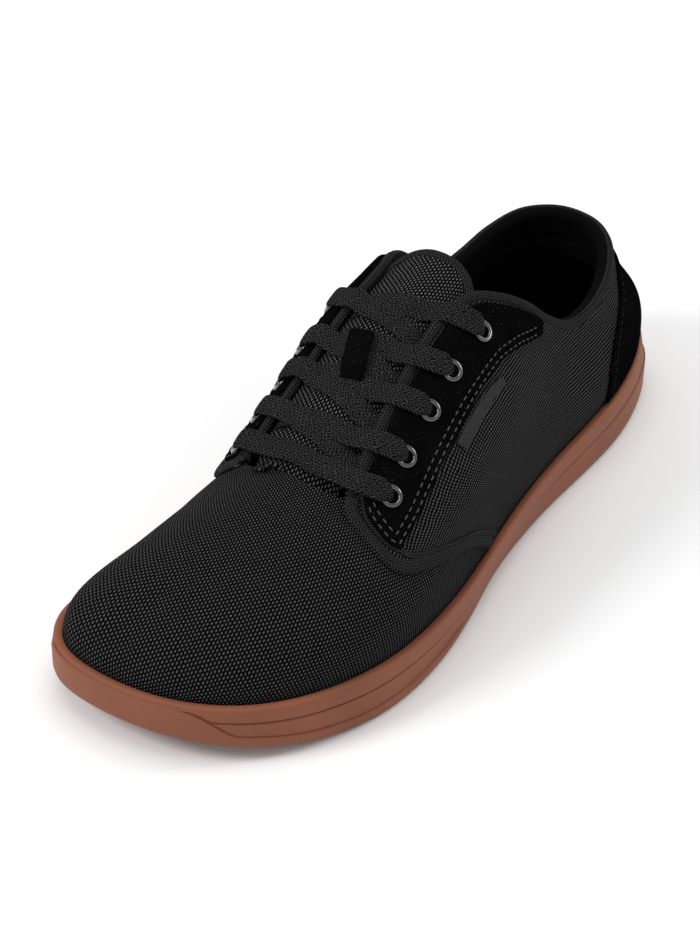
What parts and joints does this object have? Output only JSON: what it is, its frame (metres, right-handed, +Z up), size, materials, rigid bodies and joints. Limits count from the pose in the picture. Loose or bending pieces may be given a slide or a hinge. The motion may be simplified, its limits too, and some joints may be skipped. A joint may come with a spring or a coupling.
{
  "type": "barefoot shoe",
  "caption": "Low knit lace-up barefoot shoe for the left foot, with a flat gum rubber cupsole, padded collar, suede eyestays and heel counter.",
  "frame": {"origin": "on the floor, under the middle of the sole's outline", "axes": "+X towards the toe, +Y towards the wearer's left, the shoe's outer side, +Z up"},
  "size_m": [0.29, 0.1063, 0.1049],
  "materials": {
    "gum_rubber": "satin gum rubber",
    "black_knit": "matte knit",
    "black_suede": "matte suede nap",
    "black_lining": "smooth brushed lining",
    "lace_cord": "flat woven tape",
    "gunmetal": "dark polished metal",
    "label_tape": "fine woven tape"
  },
  "bodies": {
    "root": {"outsole": "gum_rubber", "insole": "black_lining", "upper": "black_knit", "tongue": "black_knit", "heel_counter": "black_suede", "side_label": "label_tape", "lace_keeper": "black_suede", "eyestay_lateral": "black_suede", "eyestay_medial": "black_suede", "laces": "lace_cord", "eyelet_lateral_1": "gunmetal", "eyelet_lateral_2": "gunmetal", "eyelet_lateral_3": "gunmetal", "eyelet_lateral_4": "gunmetal", "eyelet_lateral_5": "gunmetal", "eyelet_medial_1": "gunmetal", "eyelet_medial_2": "gunmetal", "eyelet_medial_3": "gunmetal", "eyelet_medial_4": "gunmetal", "eyelet_medial_5": "gunmetal"}
  },
  "joints": []
}
